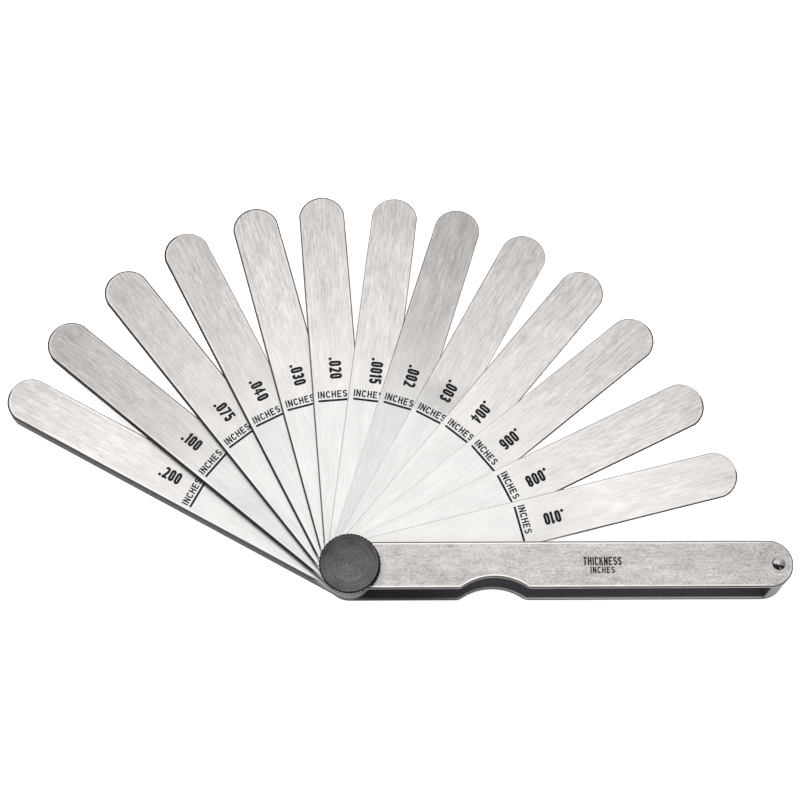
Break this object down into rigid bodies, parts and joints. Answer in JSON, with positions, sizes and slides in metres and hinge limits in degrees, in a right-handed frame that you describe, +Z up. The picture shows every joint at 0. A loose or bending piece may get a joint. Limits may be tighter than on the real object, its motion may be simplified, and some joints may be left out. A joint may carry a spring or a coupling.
{
  "type": "feeler gauge",
  "caption": "Fan of flat steel thickness leaves swinging about one pivot out of a slim open-sided steel case, locked by a knurled knob.",
  "frame": {"origin": "where the pivot axis meets the case's flat underside", "axes": "+Z up the pivot axis towards the knob, +X along the case towards its riveted end, +Y towards the side the leaves are fanned over"},
  "size_m": [0.212, 0.1145, 0.0174],
  "materials": {
    "case_steel": "satin, fine mottled grain",
    "spacer_steel": "turned, satin",
    "rivet_steel": "bright, polished dome",
    "post_steel": "turned",
    "washer_steel": "plain",
    "knob_black_oxide": "black oxide, turned face, knurled rim",
    "leaf_steel": "satin, ground along the leaf"
  },
  "bodies": {
    "case": {"lower_case_plate": "case_steel", "upper_case_plate": "case_steel", "end_spacer": "spacer_steel", "end_rivet": "rivet_steel", "pivot_post": "post_steel"},
    "lock_washer": {"thrust_washer": "washer_steel"},
    "lock_knob": {"lock_screw": "knob_black_oxide"},
    "leaf_200_blade": {"leaf_200": "leaf_steel"},
    "leaf_100_blade": {"leaf_100": "leaf_steel"},
    "leaf_075_blade": {"leaf_075": "leaf_steel"},
    "leaf_040_blade": {"leaf_040": "leaf_steel"},
    "leaf_030_blade": {"leaf_030": "leaf_steel"},
    "leaf_020_blade": {"leaf_020": "leaf_steel"},
    "leaf_0015_blade": {"leaf_0015": "leaf_steel"},
    "leaf_002_blade": {"leaf_002": "leaf_steel"},
    "leaf_003_blade": {"leaf_003": "leaf_steel"},
    "leaf_004_blade": {"leaf_004": "leaf_steel"},
    "leaf_006_blade": {"leaf_006": "leaf_steel"},
    "leaf_008_blade": {"leaf_008": "leaf_steel"},
    "leaf_010_blade": {"leaf_010": "leaf_steel"}
  },
  "joints": [
    {"name": "washer_lift", "type": "slide", "parent": "case", "child": "lock_washer", "axis": [0, 0, 1], "range_m": [0, 0.00119]},
    {"name": "knob_turn", "type": "hinge", "parent": "lock_washer", "child": "lock_knob", "pos_m": [0, 0, 0.01522], "axis": [0, 0, 1], "range_deg": [0, 540]},
    {"name": "leaf_200_swing", "type": "hinge", "parent": "case", "child": "leaf_200_blade", "pos_m": [0, 0, 0.007], "axis": [0, 0, 1], "range_deg": [-150.99, 209.01]},
    {"name": "leaf_100_swing", "type": "hinge", "parent": "case", "child": "leaf_100_blade", "pos_m": [0, 0, 0.007], "axis": [0, 0, 1], "range_deg": [-140.15, 219.85]},
    {"name": "leaf_075_swing", "type": "hinge", "parent": "case", "child": "leaf_075_blade", "pos_m": [0, 0, 0.007], "axis": [0, 0, 1], "range_deg": [-127.99, 232.01]},
    {"name": "leaf_040_swing", "type": "hinge", "parent": "case", "child": "leaf_040_blade", "pos_m": [0, 0, 0.007], "axis": [0, 0, 1], "range_deg": [-116.77, 243.23]},
    {"name": "leaf_030_swing", "type": "hinge", "parent": "case", "child": "leaf_030_blade", "pos_m": [0, 0, 0.007], "axis": [0, 0, 1], "range_deg": [-105.1, 254.9]},
    {"name": "leaf_020_swing", "type": "hinge", "parent": "case", "child": "leaf_020_blade", "pos_m": [0, 0, 0.007], "axis": [0, 0, 1], "range_deg": [-94.44, 265.56]},
    {"name": "leaf_0015_swing", "type": "hinge", "parent": "case", "child": "leaf_0015_blade", "pos_m": [0, 0, 0.007], "axis": [0, 0, 1], "range_deg": [-82.85, 277.15]},
    {"name": "leaf_002_swing", "type": "hinge", "parent": "case", "child": "leaf_002_blade", "pos_m": [0, 0, 0.007], "axis": [0, 0, 1], "range_deg": [-72.69, 287.31]},
    {"name": "leaf_003_swing", "type": "hinge", "parent": "case", "child": "leaf_003_blade", "pos_m": [0, 0, 0.007], "axis": [0, 0, 1], "range_deg": [-61.37, 298.63]},
    {"name": "leaf_004_swing", "type": "hinge", "parent": "case", "child": "leaf_004_blade", "pos_m": [0, 0, 0.007], "axis": [0, 0, 1], "range_deg": [-50.48, 309.52]},
    {"name": "leaf_006_swing", "type": "hinge", "parent": "case", "child": "leaf_006_blade", "pos_m": [0, 0, 0.007], "axis": [0, 0, 1], "range_deg": [-39.37, 320.63]},
    {"name": "leaf_008_swing", "type": "hinge", "parent": "case", "child": "leaf_008_blade", "pos_m": [0, 0, 0.007], "axis": [0, 0, 1], "range_deg": [-26.14, 333.86]},
    {"name": "leaf_010_swing", "type": "hinge", "parent": "case", "child": "leaf_010_blade", "pos_m": [0, 0, 0.007], "axis": [0, 0, 1], "range_deg": [-14.07, 345.93]}
  ],
  "couplings": [
    {"joint": "knob_turn", "follows": "washer_lift", "rad_per_m": 7915.8}
  ]
}
